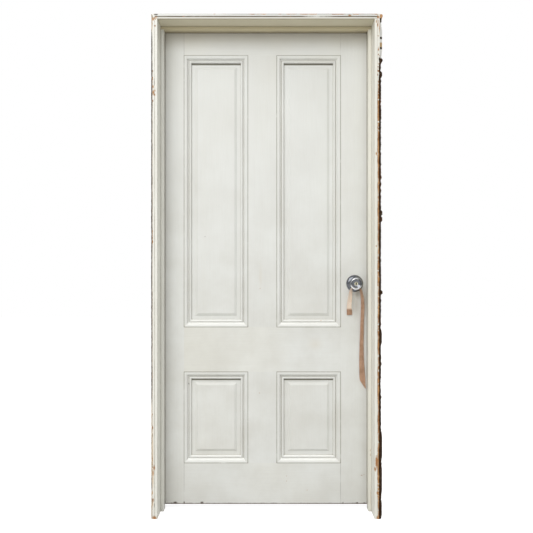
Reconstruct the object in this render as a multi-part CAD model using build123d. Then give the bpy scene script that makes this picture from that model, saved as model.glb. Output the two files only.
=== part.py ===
from build123d import *
import math
import os

# Sizes are in millimetres. X runs to the right and Z up, seen from the side that shows the stops.
# Y runs from that side to the side that the leaf opens to. While the pieces are made, X = 0 is the
# middle of the opening, Y = 0 the front edge of the jambs and Z = 0 the floor.

# Frame
opening_width = 870.0
opening_height = 2000.0
jamb_thickness = 20.0
jamb_depth = 146.0
head_thickness = 20.0
head_housing = 9.0
stop_thickness = 12.7
stop_width = 36.0
stop_gap = 1.0
stop_round = 1.5
edge_line_inset = 9.5
edge_line_width = 1.6
edge_line_depth = 0.9
packing_right_thickness = 11.0
packing_left_thickness = 4.0
packing_width = 84.0
packing_setback = 4.0
packing_end = 12.0
packing_teeth = 40
packing_rag = 0.6
packing_wander = 1.7
packing_sharpness = 6

# Leaf
leaf_thickness = 35.0
leaf_side_gap = 3.0
leaf_top_gap = 3.0
leaf_floor_gap = 16.0
hinge_stile_width = 89.0
lock_stile_width = 120.0
muntin_width = 121.0
top_rail_width = 104.0
lock_rail_width = 188.0
bottom_rail_width = 172.0
lower_panel_height = 381.0

# Joinery
groove_width = 11.0
groove_depth = 10.0
tenon_length = 50.0
tenon_shoulder = 24.0
muntin_tenon_length = 38.0
mortise_play = 1.5
panel_play = 1.5

# Panels and their mouldings
panel_margin_width = 15.5
panel_bevel_width = 11.0
panel_field_rise = 6.0
moulding_width = 30.0
moulding_proud = 1.0
moulding_fillet_width = 9.0
moulding_slope_width = 10.0
moulding_slope_bow = 0.35
moulding_slope_foot = 5.0
moulding_quirk_width = 1.6
moulding_quirk_depth = 1.6
moulding_bead_height = 9.0
moulding_bead_wall = 5.5
moulding_arris = 0.8

# Hinges
hinge_height = 89.0
hinge_leaf_width = 38.0
hinge_plate = 2.4
hinge_pin_offset = 8.0
hinge_barrel_radius = 6.0
hinge_pin_radius = 3.0
hinge_pin_clearance = 0.06
hinge_knuckle_gap = 0.3
hinge_knuckles = 5
hinge_pin_head_radius = 4.6
hinge_pin_head_height = 5.0
upper_hinge_inset = 178.0
lower_hinge_inset = 270.0
hinge_hole_inset = 11.5
hinge_hole_stagger = 8.0
hinge_seat_play = 0.15

# Screws
screw_head_radius = 4.2
screw_head_depth = 2.4
screw_shank_radius = 2.0
screw_point_radius = 0.25
screw_point_length = 4.0
screw_length = 19.0
screw_slot_width = 1.0
screw_slot_depth = 0.9

# Lock
knob_height = 939.0
lock_backset = 61.0
face_bore_radius = 27.0
edge_bore_radius = 12.5
lock_body_radius = 25.5
lock_slot_play = 1.0
rose_radius = 35.0
rose_height = 9.0
rose_lip = 2.2
rose_crown_width = 6.2
sleeve_radius = 12.5
sleeve_clearance = 0.08
sleeve_depth = 12.0
knob_radius = 25.0
knob_projection = 48.0
knob_neck_end = 17.0
knob_waist = 25.0
knob_waist_radius = 18.5
knob_belly = 31.0
knob_side_bow = 1.0
knob_rim = 5.0
knob_dish_radius = 17.0
knob_dish_depth = 6.0
knob_dish_wall = 2.1
knob_dish_flat = 2.0
plug_radius = 7.5
plug_clearance = 0.08
plug_length = 18.0
plug_proud = 0.6
keyway_width = 2.8
keyway_height = 9.0
keyway_depth = 6.0
button_width = 4.0
button_length = 12.0
button_proud = 5.0

# Latch and strike
latch_case_radius = 11.0
latch_plate_height = 57.0
latch_plate_width = 25.4
latch_plate_thickness = 2.4
latch_screw_spacing = 41.0
latch_bolt_radius = 6.6
latch_bolt_clearance = 0.08
latch_bolt_length = 46.0
latch_throw = 11.0
latch_throw_play = 3.0
latch_bevel = 9.0
latch_flush = 0.4
strike_height = 57.0
strike_width = 28.0
strike_thickness = 1.6
strike_hole_height = 24.0
strike_hole_width = 17.0
strike_screw_spacing = 41.0

# Strip of cloth over the knob's neck
strip_width = 22.0
strip_gathered_width = 11.0
strip_thickness = 2.0
strip_bunch_width = 7.0
strip_bunch_thickness = 3.0
strip_clearance = 0.3
strip_shoulder_drop = 30.0
strip_long_drop = 436.0
strip_long_offset = 27.0
strip_short_drop = 128.0
strip_short_offset = 28.0
strip_end_slant = 44.0

# How far a cut runs past the surface that it cuts
overshoot = 1.0

# Places that follow from the sizes above
jamb_face = opening_width / 2
jamb_back = jamb_face + jamb_thickness
frame_top = opening_height + head_thickness
leaf_back = jamb_depth
leaf_front = leaf_back - leaf_thickness
leaf_middle = leaf_back - leaf_thickness / 2
leaf_left = -jamb_face + leaf_side_gap
leaf_right = jamb_face - leaf_side_gap
leaf_bottom = leaf_floor_gap
leaf_top = opening_height - leaf_top_gap
stop_back = leaf_front - stop_gap
stop_front = stop_back - stop_width
stile_inner_left = leaf_left + hinge_stile_width
stile_inner_right = leaf_right - lock_stile_width
panel_opening = (stile_inner_right - stile_inner_left - muntin_width) / 2
muntin_left = stile_inner_left + panel_opening
muntin_right = muntin_left + muntin_width
lower_bottom = leaf_bottom + bottom_rail_width
lower_top = lower_bottom + lower_panel_height
upper_bottom = lower_top + lock_rail_width
upper_top = leaf_top - top_rail_width
hinge_hole_spacing = hinge_height / 2 - hinge_hole_inset
strike_pocket_depth = latch_throw + latch_throw_play
pin_x = (leaf_left - jamb_face) / 2
pin_y = leaf_back + hinge_pin_offset
knob_x = leaf_right - lock_backset
barrel_reach = hinge_pin_offset + hinge_barrel_radius
knob_reach = max(knob_projection, barrel_reach)
origin_x = (packing_right_thickness - packing_left_thickness) / 2
origin_y = (leaf_back + knob_reach) / 2
front_face = 1
rear_face = -1
from_start = (Align.CENTER, Align.CENTER, Align.MIN)


def block(x, y, z):
    """A box between two corners, given as (low, high) pairs along X, Y and Z."""
    size = (x[1] - x[0], y[1] - y[0], z[1] - z[0])
    middle = ((x[0] + x[1]) / 2, (y[0] + y[1]) / 2, (z[0] + z[1]) / 2)
    return Pos(*middle) * Box(*size)


def rod(centre, direction, radius, length):
    """A cylinder that starts at centre and runs along direction."""
    return Plane(origin=centre, z_dir=direction) * Cylinder(radius, length, align=from_start)


def save(name, *solids):
    """Moves the pieces to the origin at the part's bottom centre and writes one node."""
    shift = Pos(-origin_x, -origin_y, 0)
    placed = [shift * solid for item in solids for solid in item.solids()]
    shape = placed[0] if len(placed) == 1 else Compound(children=placed)
    export_step(shape, f"parts/{name}.step")


def screw_axes(x, direction, heights, depth):
    """Head centres and direction of a row of screws in an upright plate."""
    return [(Vector(x, depth, z), Vector(direction, 0, 0)) for z in heights]


def screw(centre, direction):
    """A slotted countersunk wood screw whose head lies flush at centre and points along direction."""
    head = Cone(screw_head_radius, screw_shank_radius, screw_head_depth, align=from_start)
    point = screw_length - screw_point_length
    shank = Pos(0, 0, screw_head_depth) * Cylinder(
        screw_shank_radius, point - screw_head_depth, align=from_start
    )
    tip = Pos(0, 0, point) * Cone(
        screw_shank_radius, screw_point_radius, screw_point_length, align=from_start
    )
    slot = Box(2 * screw_head_radius + overshoot, screw_slot_width, 2 * screw_slot_depth)
    return Plane(origin=centre, z_dir=direction) * (head + shank + tip - slot)


def screw_hole(centre, direction):
    """The countersunk hole that the screw fills."""
    head = Cone(screw_head_radius, screw_shank_radius, screw_head_depth, align=from_start)
    shank = Cylinder(screw_shank_radius, screw_length, align=from_start)
    return Plane(origin=centre, z_dir=direction) * (head + shank)


def cut_all(solid, tools):
    for tool in tools:
        solid -= tool
    return solid


def hinge_middles():
    """Heights of the middles of the two hinges."""
    upper = leaf_top - upper_hinge_inset - hinge_height / 2
    lower = leaf_bottom + lower_hinge_inset + hinge_height / 2
    return {"upper": upper, "lower": lower}


def hinge_screw_places(middle, side):
    """Three staggered screws in one hinge leaf; side is +1 for the leaf on the door, -1 on the jamb."""
    face = leaf_left if side > 0 else -jamb_face
    plate_middle = pin_y - hinge_leaf_width / 2 - barrel_reach / 2
    places = []
    for row in (-1, 0, 1):
        depth = plate_middle + (hinge_hole_stagger if row else -hinge_hole_stagger)
        places.append((Vector(face, depth, middle + row * hinge_hole_spacing), Vector(side, 0, 0)))
    return places


def hinge_leaf(middle, side):
    """Plate in its seat, with a strap out to the pin and its share of the knuckles."""
    face = leaf_left if side > 0 else -jamb_face
    inner = face + side * hinge_plate
    low = middle - hinge_height / 2
    plate = block(sorted((face, inner)), (pin_y - hinge_leaf_width, pin_y), (low, low + hinge_height))
    knuckle = hinge_height / hinge_knuckles
    barrel_keep_out = hinge_barrel_radius + hinge_knuckle_gap
    leaf = plate
    for index in range(hinge_knuckles):
        base = low + index * knuckle
        own = (index % 2 == 0) == (side < 0)
        if own:
            start = base + hinge_knuckle_gap / 2
            leaf += rod((pin_x, pin_y, start), (0, 0, 1), hinge_barrel_radius, knuckle - hinge_knuckle_gap)
        else:
            leaf -= rod((pin_x, pin_y, base), (0, 0, 1), barrel_keep_out, knuckle)
    bore = hinge_pin_radius + hinge_pin_clearance
    leaf -= rod((pin_x, pin_y, low - overshoot), (0, 0, 1), bore, hinge_height + 2 * overshoot)
    return cut_all(leaf, [screw_hole(*place) for place in hinge_screw_places(middle, side)])


def hinge_pin(middle):
    """Loose pin with a button head, dropped in from above."""
    low = middle - hinge_height / 2
    pin = rod((pin_x, pin_y, low), (0, 0, 1), hinge_pin_radius, hinge_height)
    top = low + hinge_height
    head = rod((pin_x, pin_y, top), (0, 0, 1), hinge_pin_head_radius, hinge_pin_head_height)
    head = fillet(head.edges().group_by(Axis.Z)[-1], hinge_pin_head_height / 2)
    return pin + head


def hinge_seat(middle, side):
    """The recess that a hinge leaf lies in, cut into the jamb or the stile."""
    face = leaf_left if side > 0 else -jamb_face
    inner = face + side * hinge_plate
    low = middle - hinge_height / 2 - hinge_seat_play
    seat_x = sorted((face - side * overshoot, inner))
    end = pin_y - hinge_leaf_width - hinge_seat_play
    return block(seat_x, (end, leaf_back + overshoot), (low, low + hinge_height + 2 * hinge_seat_play))


def hinge_cuts(side):
    cuts = []
    for middle in hinge_middles().values():
        cuts.append(hinge_seat(middle, side))
        cuts += [screw_hole(*place) for place in hinge_screw_places(middle, side)]
    return cuts


def strike_screw_places():
    heights = [knob_height - strike_screw_spacing / 2, knob_height + strike_screw_spacing / 2]
    return screw_axes(jamb_face, 1, heights, leaf_middle)


def strike_cuts():
    """Seat of the plate, pocket for the bolt and holes for the screws, in the right jamb."""
    half_height = strike_height / 2
    seat = block(
        (jamb_face - overshoot, jamb_face + strike_thickness),
        (leaf_middle - strike_width / 2, leaf_middle + strike_width / 2),
        (knob_height - half_height, knob_height + half_height),
    )
    pocket = block(
        (jamb_face - overshoot, jamb_face + strike_pocket_depth),
        (leaf_middle - strike_hole_width / 2, leaf_middle + strike_hole_width / 2),
        (knob_height - strike_hole_height / 2, knob_height + strike_hole_height / 2),
    )
    return [seat, pocket] + [screw_hole(*place) for place in strike_screw_places()]


def strike_plate():
    half_height = strike_height / 2
    plate = block(
        (jamb_face, jamb_face + strike_thickness),
        (leaf_middle - strike_width / 2, leaf_middle + strike_width / 2),
        (knob_height - half_height, knob_height + half_height),
    )
    hole = block(
        (jamb_face - overshoot, jamb_face + strike_pocket_depth),
        (leaf_middle - strike_hole_width / 2, leaf_middle + strike_hole_width / 2),
        (knob_height - strike_hole_height / 2, knob_height + strike_hole_height / 2),
    )
    return cut_all(plate - hole, [screw_hole(*place) for place in strike_screw_places()])


def edge_line_cuts():
    """The fine line that a lost casing left along the front edges of the frame."""
    near = jamb_face + edge_line_inset
    far = near + edge_line_width
    low = opening_height + edge_line_inset
    depth = (-overshoot, edge_line_depth)
    left = block((-far, -near), depth, (-overshoot, low))
    right = block((near, far), depth, (-overshoot, low))
    head = block((-far, far), depth, (low, low + edge_line_width))
    return [left, right, head]


def jamb(side):
    x = sorted((side * jamb_face, side * jamb_back))
    board = block(x, (0, jamb_depth), (0, frame_top))
    board -= block(
        sorted((side * (jamb_face - overshoot), side * (jamb_face + head_housing))),
        (-overshoot, jamb_depth + overshoot),
        (opening_height, frame_top + overshoot),
    )
    return cut_all(board, edge_line_cuts())


def head_jamb():
    end = jamb_face + head_housing
    return cut_all(block((-end, end), (0, jamb_depth), (opening_height, frame_top)), edge_line_cuts())


def side_stop(side):
    """Planted strip with an eased front corner, under the head stop."""
    x = sorted((side * jamb_face, side * (jamb_face - stop_thickness)))
    strip = block(x, (stop_front, stop_back), (0, opening_height - stop_thickness))
    corner = strip.edges().filter_by(Axis.Z).group_by(Axis.Y)[0].sort_by(Axis.X)
    return fillet(corner[0] if side > 0 else corner[-1], stop_round)


def head_stop():
    low = opening_height - stop_thickness
    strip = block((-jamb_face, jamb_face), (stop_front, stop_back), (low, opening_height))
    corner = strip.edges().filter_by(Axis.X).group_by(Axis.Y)[0].sort_by(Axis.Z)[0]
    return fillet(corner, stop_round)


def packing_strip(side, thickness):
    """Rough-sawn strip, splintered down its outer edge. Its top end keeps the full thickness."""
    end = frame_top - packing_end
    step = end / packing_teeth
    outer = []
    for index in range(packing_teeth):
        lump = math.cos((index + 1) ** 2 * packing_wander) ** packing_sharpness
        reach = thickness * (1 - packing_rag * (1 - lump))
        outer.append((side * (jamb_back + reach), index * step))
    full = side * (jamb_back + thickness)
    inner = side * jamb_back
    outline = [(inner, 0.0)] + outer + [(full, end), (full, frame_top), (inner, frame_top)]
    face = Plane.XZ * make_face(Polyline(*outline, close=True))
    return Pos(0, packing_setback, 0) * extrude(face, amount=-packing_width)


def groove(x, z):
    """A panel groove, centred in the leaf's thickness."""
    return block(x, (leaf_middle - groove_width / 2, leaf_middle + groove_width / 2), z)


def rail_spans():
    """Low and high edge of each rail."""
    return {
        "top_rail": (upper_top, leaf_top),
        "lock_rail": (lower_top, upper_bottom),
        "bottom_rail": (leaf_bottom, lower_bottom),
    }


def tenon_span(low, high):
    return (low + tenon_shoulder, high - tenon_shoulder)


def stile(x, inner, direction):
    """One upright of the leaf, grooved on its inner edge and mortised for each rail.

    direction is +1 where the inner edge is the high-X one.
    """
    board = block(x, (leaf_front, leaf_back), (leaf_bottom, leaf_top))
    bottom_of_groove = inner - direction * groove_depth
    board -= groove(
        sorted((bottom_of_groove, inner + direction * overshoot)),
        (leaf_bottom - overshoot, leaf_top + overshoot),
    )
    for low, high in rail_spans().values():
        end = inner - direction * (tenon_length + mortise_play)
        board -= groove(sorted((end, inner)), tenon_span(low, high))
    return board


def rail(low, high, grooves):
    """One cross piece with a haunched tenon at each end and a groove towards each panel."""
    board = block((stile_inner_left, stile_inner_right), (leaf_front, leaf_back), (low, high))
    haunch = (stile_inner_left - groove_depth, stile_inner_right + groove_depth)
    board += groove(haunch, (low, high))
    tenon = (stile_inner_left - tenon_length, stile_inner_right + tenon_length)
    board += groove(tenon, tenon_span(low, high))
    across = (haunch[0] - overshoot, haunch[1] + overshoot)
    muntin_tenon = (muntin_left + tenon_shoulder, muntin_right - tenon_shoulder)
    if "low" in grooves:
        board -= groove(across, (low - overshoot, low + groove_depth))
        board -= groove(muntin_tenon, (low, low + muntin_tenon_length + mortise_play))
    if "high" in grooves:
        board -= groove(across, (high - groove_depth, high + overshoot))
        board -= groove(muntin_tenon, (high - muntin_tenon_length - mortise_play, high))
    return board


def muntin(low, high):
    """Short upright between two panels, tenoned into the rails above and below."""
    board = block((muntin_left, muntin_right), (leaf_front, leaf_back), (low, high))
    board += groove((muntin_left, muntin_right), (low - groove_depth, high + groove_depth))
    tenon = (muntin_left + tenon_shoulder, muntin_right - tenon_shoulder)
    board += groove(tenon, (low - muntin_tenon_length, high + muntin_tenon_length))
    reach = groove_depth + overshoot
    tall = (low - reach, high + reach)
    board -= groove((muntin_left - overshoot, muntin_left + groove_depth), tall)
    board -= groove((muntin_right - groove_depth, muntin_right + overshoot), tall)
    return board


def panel_places():
    """Opening of each panel as (X span, Z span)."""
    left = (stile_inner_left, muntin_left)
    right = (muntin_right, stile_inner_right)
    return {
        "upper_left": (left, (upper_bottom, upper_top)),
        "upper_right": (right, (upper_bottom, upper_top)),
        "lower_left": (left, (lower_bottom, lower_top)),
        "lower_right": (right, (lower_bottom, lower_top)),
    }


def leaf_face(side):
    return leaf_front if side == front_face else leaf_back


def panel_surface(side):
    """Y of the panel's flat margin on one side."""
    return leaf_middle - side * groove_width / 2


def panel(x, z):
    """Raised panel: a tongue all round, and a bevelled field on both faces."""
    reach = groove_depth - panel_play
    board = groove((x[0] - reach, x[1] + reach), (z[0] - reach, z[1] + reach))
    foot = moulding_width + panel_margin_width
    width = x[1] - x[0] - 2 * foot
    height = z[1] - z[0] - 2 * foot
    for side in (front_face, rear_face):
        base = Plane(
            origin=((x[0] + x[1]) / 2, panel_surface(side), (z[0] + z[1]) / 2),
            x_dir=(1, 0, 0),
            z_dir=(0, -side, 0),
        )
        outer = base * Rectangle(width, height)
        inner = base.offset(panel_field_rise) * Rectangle(
            width - 2 * panel_bevel_width, height - 2 * panel_bevel_width
        )
        board += loft([outer, inner], ruled=True)
    return board


def moulding_section():
    """Section of the planted moulding: fillet, ogee, quirk and bead, from the frame towards the panel.

    The first coordinate is the distance from the framing, the second the height over the margin.
    """
    top = (leaf_thickness - groove_width) / 2 + moulding_proud
    slope_end = moulding_fillet_width + moulding_slope_width
    slope_middle = (moulding_fillet_width + slope_end) / 2
    half_drop = (top + moulding_slope_foot) / 2
    quirk_end = slope_end + moulding_quirk_width
    start = (0, top - moulding_arris)
    eased = (moulding_arris, top)
    fillet_end = (moulding_fillet_width, top)
    turn = (slope_middle, half_drop)
    foot = (slope_end, moulding_slope_foot)
    quirk = (slope_end + moulding_quirk_width / 2, moulding_slope_foot - moulding_quirk_depth)
    bead_start = (quirk_end, moulding_slope_foot)
    bead_end = (moulding_width, moulding_bead_wall)
    bead_top = ((quirk_end + moulding_width) / 2, moulding_bead_height)
    along = moulding_slope_width * moulding_slope_bow
    down = (top - half_drop) * moulding_slope_bow
    upper_bow = (moulding_fillet_width + along, top - down)
    lower_bow = (slope_end - along, moulding_slope_foot + down)
    edges = [
        Line((0, 0), start),
        Line(start, eased),
        Line(eased, fillet_end),
        ThreePointArc(fillet_end, upper_bow, turn),
        ThreePointArc(turn, lower_bow, foot),
        Line(foot, quirk),
        Line(quirk, bead_start),
        ThreePointArc(bead_start, bead_top, bead_end),
        Line(bead_end, (moulding_width, 0)),
        Line((moulding_width, 0), (0, 0)),
    ]
    return make_face(Wire(edges))


def moulding_stick(origin, along, inward, outward, length):
    """One stick, mitred at both ends.

    It starts at a corner of the opening and runs along one side of it. inward points to the panel's
    middle and outward away from the leaf.
    """
    section_plane = Plane(origin=origin, x_dir=inward, z_dir=Vector(inward).cross(Vector(outward)))
    bar = extrude(section_plane * moulding_section(), amount=length, both=True)
    flat = Plane(origin=origin, x_dir=along, z_dir=outward)
    inward_sign = 1 if Vector(inward).dot(flat.y_dir) > 0 else -1
    outline = [
        (0, 0),
        (length, 0),
        (length - moulding_width, inward_sign * moulding_width),
        (moulding_width, inward_sign * moulding_width),
    ]
    reach = leaf_thickness
    mitred = extrude(flat * make_face(Polyline(*outline, close=True)), amount=reach, both=True)
    return bar & mitred


def mouldings(x, z, side):
    """The four sticks round one panel on one face."""
    y = panel_surface(side)
    outward = (0, -side, 0)
    width = x[1] - x[0]
    height = z[1] - z[0]
    return [
        moulding_stick((x[0], y, z[0]), (1, 0, 0), (0, 0, 1), outward, width),
        moulding_stick((x[0], y, z[1]), (1, 0, 0), (0, 0, -1), outward, width),
        moulding_stick((x[0], y, z[0]), (0, 0, 1), (1, 0, 0), outward, height),
        moulding_stick((x[1], y, z[0]), (0, 0, 1), (-1, 0, 0), outward, height),
    ]


def lock_cuts():
    """Face bore, edge bore and the seat and screw holes of the latch plate, in the lock stile."""
    through = leaf_thickness + 2 * overshoot
    face_bore = rod((knob_x, leaf_front - overshoot, knob_height), (0, 1, 0), face_bore_radius, through)
    out = lock_backset + overshoot
    edge_bore = rod((knob_x, leaf_middle, knob_height), (1, 0, 0), edge_bore_radius, out)
    seat = block(
        (leaf_right - latch_plate_thickness, leaf_right + overshoot),
        (leaf_middle - latch_plate_width / 2, leaf_middle + latch_plate_width / 2),
        (knob_height - latch_plate_height / 2, knob_height + latch_plate_height / 2),
    )
    return [face_bore, edge_bore, seat] + [screw_hole(*place) for place in latch_screw_places()]


def latch_screw_places():
    heights = [knob_height - latch_screw_spacing / 2, knob_height + latch_screw_spacing / 2]
    return screw_axes(leaf_right, -1, heights, leaf_middle)


def latch_case():
    """Faceplate with the round case behind it, bored for the bolt."""
    plate = block(
        (leaf_right - latch_plate_thickness, leaf_right),
        (leaf_middle - latch_plate_width / 2, leaf_middle + latch_plate_width / 2),
        (knob_height - latch_plate_height / 2, knob_height + latch_plate_height / 2),
    )
    case_start = knob_x + lock_body_radius
    case = rod((case_start, leaf_middle, knob_height), (1, 0, 0), latch_case_radius, leaf_right - case_start)
    bore = rod(
        (case_start - overshoot, leaf_middle, knob_height),
        (1, 0, 0),
        latch_bolt_radius + latch_bolt_clearance,
        leaf_right - case_start + 2 * overshoot,
    )
    return cut_all(plate + case - bore, [screw_hole(*place) for place in latch_screw_places()])


def latch_bolt():
    """Spring bolt, bevelled on the side that meets the strike first, drawn back into its case."""
    tip = leaf_right - latch_flush
    tail = tip - latch_bolt_length
    bolt = rod((tail, leaf_middle, knob_height), (1, 0, 0), latch_bolt_radius, latch_bolt_length)
    bevel = Plane.XY * make_face(
        Polyline(
            (tip - latch_bevel, leaf_middle - latch_bolt_radius),
            (tip, leaf_middle - latch_bolt_radius),
            (tip, leaf_middle + latch_bolt_radius / 2),
            close=True,
        )
    )
    return bolt - Pos(0, 0, knob_height - latch_bolt_radius) * extrude(bevel, amount=2 * latch_bolt_radius)


def on_door_face(shape, side):
    """Puts a piece turned about Z onto the leaf at the knob's centre, its Z pointing out of the leaf."""
    place = Plane(origin=(knob_x, leaf_face(side), knob_height), x_dir=(1, 0, 0), z_dir=(0, -side, 0))
    return place * shape


def turned(edges):
    """Turns a half section in the XZ plane about Z."""
    return revolve(Plane.XZ * make_face(Wire(edges)), axis=Axis.Z)


def rose():
    """Dished round plate under the knob."""
    hole = sleeve_radius + sleeve_clearance
    shoulder = (rose_radius, rose_lip)
    crown = (hole + rose_crown_width, rose_height)
    return turned(
        [
            Line((hole, 0), (rose_radius, 0)),
            Line((rose_radius, 0), shoulder),
            TangentArc(crown, shoulder, tangent=(1, 0)),
            Line(crown, (hole, rose_height)),
            Line((hole, rose_height), (hole, 0)),
        ]
    )


def knob_shell():
    """Tulip knob with its sleeve: neck, belly, rounded rim and dished face with a bore for the insert."""
    bore = plug_radius + plug_clearance
    face = knob_projection - knob_dish_depth
    neck = (sleeve_radius, knob_neck_end)
    belly = (knob_radius - knob_rim / 2, knob_belly)
    rim_low = (knob_radius, knob_projection - knob_rim)
    rim_high = (knob_radius - knob_rim, knob_projection)
    rim_cut = knob_rim * (1 - math.sqrt(0.5))
    rim_bow = (knob_radius - rim_cut, knob_projection - rim_cut)
    side_bow = (knob_radius, (belly[1] + rim_low[1]) / 2 - knob_side_bow)
    dish = (knob_dish_radius, face + knob_dish_wall)
    flat = (bore + knob_dish_flat, face)
    floor = knob_projection + plug_proud - plug_length
    return turned(
        [
            Line((0, -sleeve_depth), (sleeve_radius, -sleeve_depth)),
            Line((sleeve_radius, -sleeve_depth), neck),
            ThreePointArc(neck, (knob_waist_radius, knob_waist), belly),
            ThreePointArc(belly, side_bow, rim_low),
            ThreePointArc(rim_low, rim_bow, rim_high),
            Line(rim_high, dish),
            Line(dish, flat),
            Line(flat, (bore, face)),
            Line((bore, face), (bore, floor)),
            Line((bore, floor), (0, floor)),
            Line((0, floor), (0, -sleeve_depth)),
        ]
    )


def insert():
    """Cylinder that sits in the knob's face, a hair proud of the dish."""
    face = knob_projection - knob_dish_depth + plug_proud
    floor = knob_projection + plug_proud - plug_length
    body = Pos(0, 0, floor) * Cylinder(plug_radius, face - floor, align=from_start)
    return chamfer(body.edges().group_by(Axis.Z)[-1], plug_proud / 2), face


def key_plug():
    body, face = insert()
    return body - Pos(0, 0, face) * Box(keyway_width, keyway_height, 2 * keyway_depth)


def turn_button():
    body, face = insert()
    grip = Pos(0, 0, face) * extrude(SlotOverall(button_length, button_width), amount=button_proud)
    return body + grip


def lock_body():
    """Drum in the face bore, bored for the two sleeves and slotted for the bolt's tail."""
    drum = rod((knob_x, leaf_front, knob_height), (0, 1, 0), lock_body_radius, leaf_thickness)
    sleeve = sleeve_radius + sleeve_clearance
    depth = sleeve_depth + sleeve_clearance
    drum -= rod((knob_x, leaf_front, knob_height), (0, 1, 0), sleeve, depth)
    drum -= rod((knob_x, leaf_back, knob_height), (0, -1, 0), sleeve, depth)
    tail = leaf_right - latch_flush - latch_bolt_length
    slot_half = latch_bolt_radius + lock_slot_play
    return drum - block(
        (tail - overshoot, knob_x + lock_body_radius + overshoot),
        (leaf_middle - slot_half, leaf_middle + slot_half),
        (knob_height - slot_half, knob_height + slot_half),
    )


def strip_tail(side, drop, offset, slant):
    """One hanging end of the strip, seen from the front, with the knob's axis as its origin."""
    inner = sleeve_radius + strip_clearance
    outer = inner + strip_bunch_thickness
    outline = [
        (side * inner, 0),
        (side * outer, 0),
        (side * (offset + strip_gathered_width / 2), -strip_shoulder_drop),
        (side * (offset + strip_width / 2), -drop),
        (side * (offset - strip_width / 2), slant - drop),
        (side * (offset - strip_gathered_width / 2), -strip_shoulder_drop),
    ]
    return make_face(Polyline(*outline, close=True))


def tie_strip():
    """Strip of cloth bunched over the neck of the front knob, with a long and a short end hanging."""
    inner = sleeve_radius + strip_clearance
    outer = inner + strip_bunch_thickness
    hang = Plane(
        origin=(knob_x, leaf_front - rose_height - strip_clearance, knob_height),
        x_dir=(1, 0, 0),
        z_dir=(0, -1, 0),
    )
    ring = Circle(outer) - Circle(inner)
    upper_half = Pos(0, outer / 2) * Rectangle(2 * outer, outer)
    loop = extrude(hang * (ring & upper_half), amount=strip_bunch_width)
    long_end = strip_tail(1, strip_long_drop, strip_long_offset, strip_end_slant)
    short_end = strip_tail(-1, strip_short_drop, strip_short_offset, 0)
    for end in (long_end, short_end):
        loop += extrude(hang * end, amount=strip_thickness)
    return loop


def build_frame():
    save("left_jamb", cut_all(jamb(-1), hinge_cuts(-1)))
    save("right_jamb", cut_all(jamb(1), strike_cuts()))
    save("head_jamb", head_jamb())
    save("left_stop", side_stop(-1))
    save("right_stop", side_stop(1))
    save("head_stop", head_stop())
    save("left_packing", packing_strip(-1, packing_left_thickness))
    save("right_packing", packing_strip(1, packing_right_thickness))
    save("strike_plate", strike_plate())
    save("strike_screws", *[screw(*place) for place in strike_screw_places()])


def build_hinges():
    frame_screws = []
    leaf_screws = []
    for name, middle in hinge_middles().items():
        save(f"{name}_hinge_frame_leaf", hinge_leaf(middle, -1))
        save(f"{name}_hinge_door_leaf", hinge_leaf(middle, 1))
        save(f"{name}_hinge_pin", hinge_pin(middle))
        frame_screws += [screw(*place) for place in hinge_screw_places(middle, -1)]
        leaf_screws += [screw(*place) for place in hinge_screw_places(middle, 1)]
    save("frame_hinge_screws", *frame_screws)
    save("door_hinge_screws", *leaf_screws)


def build_leaf():
    hinge_side = stile((leaf_left, stile_inner_left), stile_inner_left, 1)
    lock_side = stile((stile_inner_right, leaf_right), stile_inner_right, -1)
    save("hinge_stile", cut_all(hinge_side, hinge_cuts(1)))
    save("lock_stile", cut_all(lock_side, lock_cuts()))
    grooves = {"top_rail": ("low",), "lock_rail": ("low", "high"), "bottom_rail": ("high",)}
    for name, (low, high) in rail_spans().items():
        save(name, rail(low, high, grooves[name]))
    save("upper_muntin", muntin(upper_bottom, upper_top))
    save("lower_muntin", muntin(lower_bottom, lower_top))
    for name, (x, z) in panel_places().items():
        save(f"{name}_panel", panel(x, z))
        save(f"{name}_front_moulding", *mouldings(x, z, front_face))
        save(f"{name}_rear_moulding", *mouldings(x, z, rear_face))


def build_lock():
    save("lock_body", lock_body())
    save("latch_case", latch_case())
    save("latch_screws", *[screw(*place) for place in latch_screw_places()])
    save("latch_bolt", latch_bolt())
    save("front_rose", on_door_face(rose(), front_face))
    save("rear_rose", on_door_face(rose(), rear_face))
    save("front_knob", on_door_face(knob_shell(), front_face))
    save("rear_knob", on_door_face(knob_shell(), rear_face))
    save("key_plug", on_door_face(key_plug(), front_face))
    save("turn_button", on_door_face(turn_button(), rear_face))
    save("tie_strip", tie_strip())


os.makedirs("parts", exist_ok=True)
build_frame()
build_hinges()
build_leaf()
build_lock()
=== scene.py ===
import math
import bmesh
import bpy
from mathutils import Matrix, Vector, noise


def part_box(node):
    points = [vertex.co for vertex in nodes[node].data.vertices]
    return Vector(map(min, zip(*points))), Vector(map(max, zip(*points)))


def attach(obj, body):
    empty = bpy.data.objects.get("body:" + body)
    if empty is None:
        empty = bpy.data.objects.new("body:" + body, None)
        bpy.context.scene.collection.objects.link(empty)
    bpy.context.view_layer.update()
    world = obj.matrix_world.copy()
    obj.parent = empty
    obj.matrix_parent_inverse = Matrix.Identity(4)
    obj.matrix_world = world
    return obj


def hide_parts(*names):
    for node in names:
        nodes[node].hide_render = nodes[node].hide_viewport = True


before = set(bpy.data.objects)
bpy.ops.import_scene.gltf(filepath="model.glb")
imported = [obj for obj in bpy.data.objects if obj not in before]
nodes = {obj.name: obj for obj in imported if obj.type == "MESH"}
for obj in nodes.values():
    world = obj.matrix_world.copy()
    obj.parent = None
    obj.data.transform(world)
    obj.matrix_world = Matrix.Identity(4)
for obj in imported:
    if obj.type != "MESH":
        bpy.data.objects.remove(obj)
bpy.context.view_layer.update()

# Sizes here are in metres. Places are worked out from the nodes of the frame.

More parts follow.
